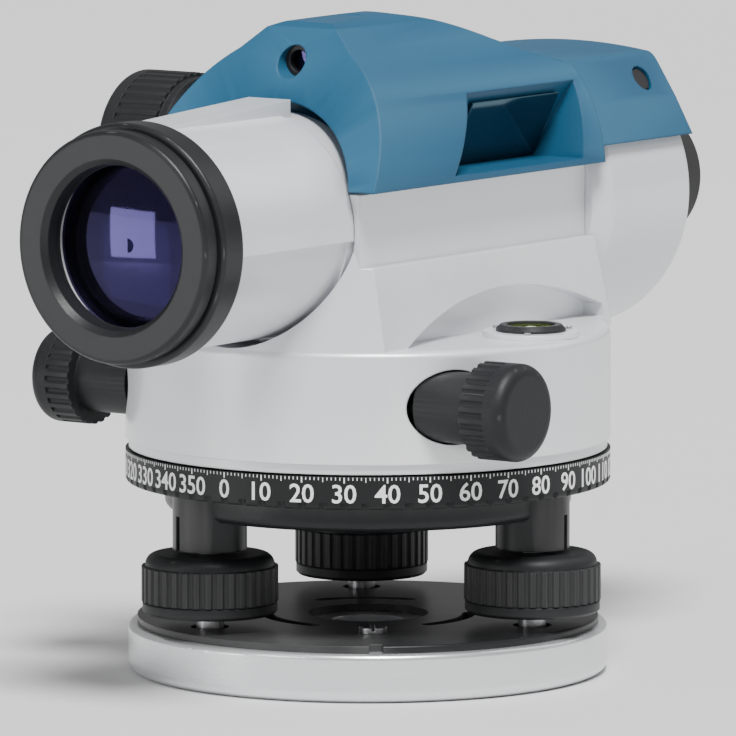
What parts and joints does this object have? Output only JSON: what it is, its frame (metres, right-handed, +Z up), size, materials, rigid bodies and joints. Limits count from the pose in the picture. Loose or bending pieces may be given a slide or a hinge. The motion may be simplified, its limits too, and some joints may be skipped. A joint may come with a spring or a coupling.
{
  "type": "automatic level",
  "caption": "Automatic surveying level: telescope with focusing knob and eyepiece on a rotating drum with tangent knobs, levelled by foot screws on a threaded base plate.",
  "frame": {"origin": "middle of the base plate's underside, on the standing axis", "axes": "+X along the line of sight toward the target, +Y to the observer's left, +Z up along the standing axis"},
  "size_m": [0.2, 0.1246, 0.1428],
  "materials": {
    "body_white": "satin silver-white paint on die-cast aluminium",
    "cover_blue": "satin moulded blue cover",
    "black_plastic": "fine-grained black moulding",
    "black_paint": "satin black paint",
    "circle_black": "black band with white degree numbers",
    "base_silver": "turned and clear-coated aluminium",
    "steel": "turned steel",
    "brass": "machined brass",
    "dark_metal": "black anodised aluminium",
    "rubber": "soft black rubber",
    "lens_glass": "coated optical glass",
    "mirror": "small silvered mirror"
  },
  "bodies": {
    "base": {"base_plate": "base_silver", "spring_plate": "black_paint", "spring_plate_screws": "steel"},
    "foot_cup": {"foot_seat": "brass"},
    "levelling_head": {"tribrach": "black_paint", "spindle": "steel"},
    "foot_a": {"foot_screw_a": "steel", "foot_knob_a": "black_plastic"},
    "foot_b": {"foot_screw_b": "steel", "foot_knob_b": "black_plastic"},
    "foot_c": {"foot_screw_c": "steel", "foot_knob_c": "black_plastic"},
    "circle": {"horizontal_circle": "circle_black"},
    "clutch_wheel": {"worm_wheel": "brass"},
    "tangent_screw": {"worm_shaft": "steel", "tangent_knob_left": "black_plastic", "tangent_knob_right": "black_plastic"},
    "focus_drive": {"focus_shaft": "steel", "focus_knob": "black_plastic"},
    "focus_slide": {"focusing_cell": "dark_metal", "focusing_lens": "lens_glass"},
    "compensator": {"pendulum": "dark_metal", "pendulum_prism": "lens_glass"},
    "dioptre": {"dioptre_ring": "black_plastic", "eyecup": "rubber"},
    "ocular": {"ocular_tube": "dark_metal", "field_lens": "lens_glass", "eye_lens": "lens_glass"},
    "alidade": {"bottom_cover": "body_white", "bubble_bezel": "black_plastic", "bubble_cup": "body_white", "bubble_mirror": "mirror", "bubble_screws": "steel", "bubble_vial": "lens_glass", "circle_index": "body_white", "compensator_frame": "dark_metal", "cover_gasket": "rubber", "cover_screws": "dark_metal", "damper_magnet": "steel", "eyepiece_mount": "black_paint", "fixed_prism": "lens_glass", "focus_bush": "brass", "lens_spacer": "black_paint", "main_cover": "cover_blue", "main_housing": "body_white", "objective_crown": "lens_glass", "objective_flange": "black_paint", "objective_flint": "lens_glass", "objective_ring": "black_paint", "rear_cover": "cover_blue", "rear_housing": "body_white", "reticle_glass": "lens_glass", "reticle_mount": "black_paint", "reticle_screws": "steel", "sight_lenses": "lens_glass", "sight_tube": "dark_metal", "spindle_bushes": "brass", "telescope_barrel": "body_white", "worm_bracket": "dark_metal"}
  },
  "joints": [
    {"name": "tilt_by_foot_a", "type": "hinge", "parent": "base", "child": "foot_cup", "pos_m": [0.03696, -0.01531, 0.0094], "axis": [-0.9914, -0.1305, 0], "range_deg": [-1.5, 1.5]},
    {"name": "tilt_by_foot_b", "type": "hinge", "parent": "foot_cup", "child": "levelling_head", "pos_m": [0.03696, -0.01531, 0.0094], "axis": [-0.6088, 0.7934, 0], "range_deg": [-1.5, 1.5]},
    {"name": "turn_foot_a", "type": "hinge", "parent": "levelling_head", "child": "foot_a", "pos_m": [-0.00522, 0.03966, 0.03], "axis": [0, 0, 1], "range_deg": [-1080, 1080]},
    {"name": "turn_foot_b", "type": "hinge", "parent": "levelling_head", "child": "foot_b", "pos_m": [-0.03173, -0.02435, 0.03], "axis": [0, 0, 1], "range_deg": [-1080, 1080]},
    {"name": "turn_foot_c", "type": "hinge", "parent": "levelling_head", "child": "foot_c", "pos_m": [0.03696, -0.01531, 0.03], "axis": [0, 0, 1], "range_deg": [-1080, 1080]},
    {"name": "circle_turn", "type": "hinge", "parent": "levelling_head", "child": "circle", "pos_m": [0, 0, 0.045], "axis": [0, 0, 1], "continuous": true},
    {"name": "coarse_turn", "type": "hinge", "parent": "levelling_head", "child": "clutch_wheel", "pos_m": [0, 0, 0.063], "axis": [0, 0, 1], "continuous": true},
    {"name": "fine_turn", "type": "hinge", "parent": "clutch_wheel", "child": "alidade", "pos_m": [0, 0, 0.063], "axis": [0, 0, 1], "continuous": true},
    {"name": "tangent_turn", "type": "hinge", "parent": "alidade", "child": "tangent_screw", "pos_m": [0.0295, 0, 0.063], "axis": [0, 1, 0], "continuous": true},
    {"name": "focus_turn", "type": "hinge", "parent": "alidade", "child": "focus_drive", "pos_m": [0.01, -0.045, 0.112], "axis": [0, 1, 0], "range_deg": [-140, 140]},
    {"name": "focus_travel", "type": "slide", "parent": "alidade", "child": "focus_slide", "axis": [1, 0, 0], "range_m": [-0.0098, 0.0098]},
    {"name": "compensator_swing", "type": "hinge", "parent": "alidade", "child": "compensator", "pos_m": [-0.029, 0, 0.117], "axis": [0, 1, 0], "range_deg": [-0.3, 0.3]},
    {"name": "dioptre_turn", "type": "hinge", "parent": "alidade", "child": "dioptre", "pos_m": [-0.093, 0, 0.0995], "axis": [1, 0, 0], "range_deg": [-170, 170]},
    {"name": "ocular_travel", "type": "slide", "parent": "alidade", "child": "ocular", "axis": [1, 0, 0], "range_m": [-0.0012, 0.0012]}
  ],
  "couplings": [
    {"joint": "fine_turn", "follows": "tangent_turn", "ratio": 0.016667},
    {"joint": "focus_travel", "follows": "focus_turn", "m_per_rad": -0.004},
    {"joint": "ocular_travel", "follows": "dioptre_turn", "m_per_rad": 0.0004}
  ]
}
